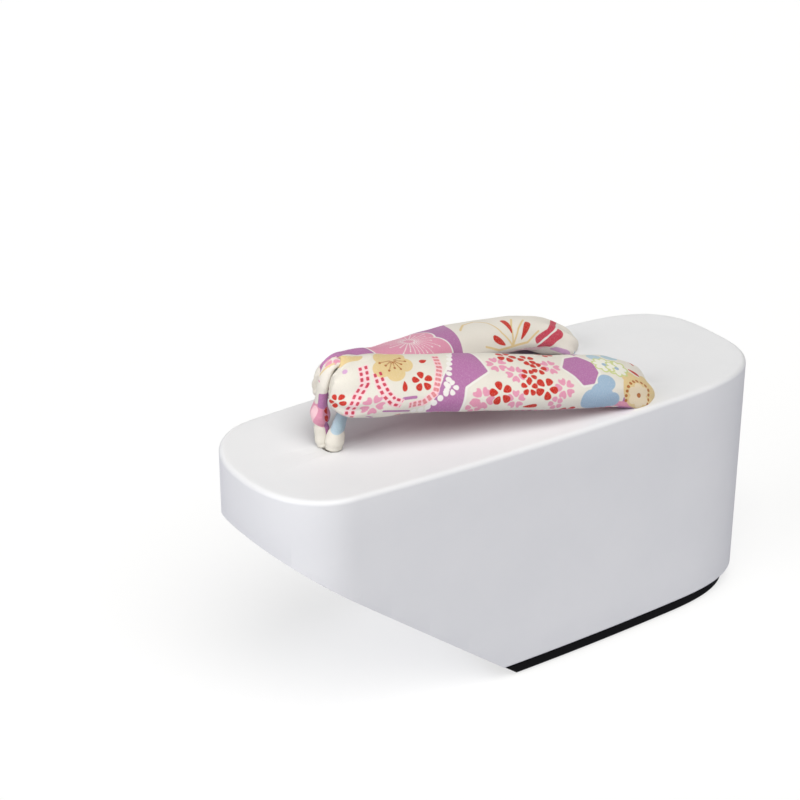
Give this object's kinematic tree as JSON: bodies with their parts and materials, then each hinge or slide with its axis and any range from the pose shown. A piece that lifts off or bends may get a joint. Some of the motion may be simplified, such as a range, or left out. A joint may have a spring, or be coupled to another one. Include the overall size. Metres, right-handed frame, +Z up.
{
  "type": "geta sandal",
  "caption": "Tall geta sandal: white lacquered wooden block cut away under the toes, thin rubber sole, padded floral cloth strap and toe loop.",
  "frame": {"origin": "on the floor, at the middle of the sandal's length and width", "axes": "+Z up, +Y towards the heel, -Y towards the toes, X across"},
  "size_m": [0.0826, 0.23, 0.1376],
  "materials": {
    "lacquer": "white satin lacquer on light wood",
    "rubber": "matte black rubber",
    "printed_cloth": "fine crinkled cloth with a traditional print of blossoms and clouds on purple",
    "lining_cloth": "napped pale pink cloth",
    "loop_cloth": "fine crinkled cloth of the same print"
  },
  "bodies": {
    "root": {"block": "lacquer", "sole": "rubber", "strap": "printed_cloth", "strap_under_left": "lining_cloth", "strap_under_right": "lining_cloth", "toe_loop": "loop_cloth"}
  },
  "joints": []
}
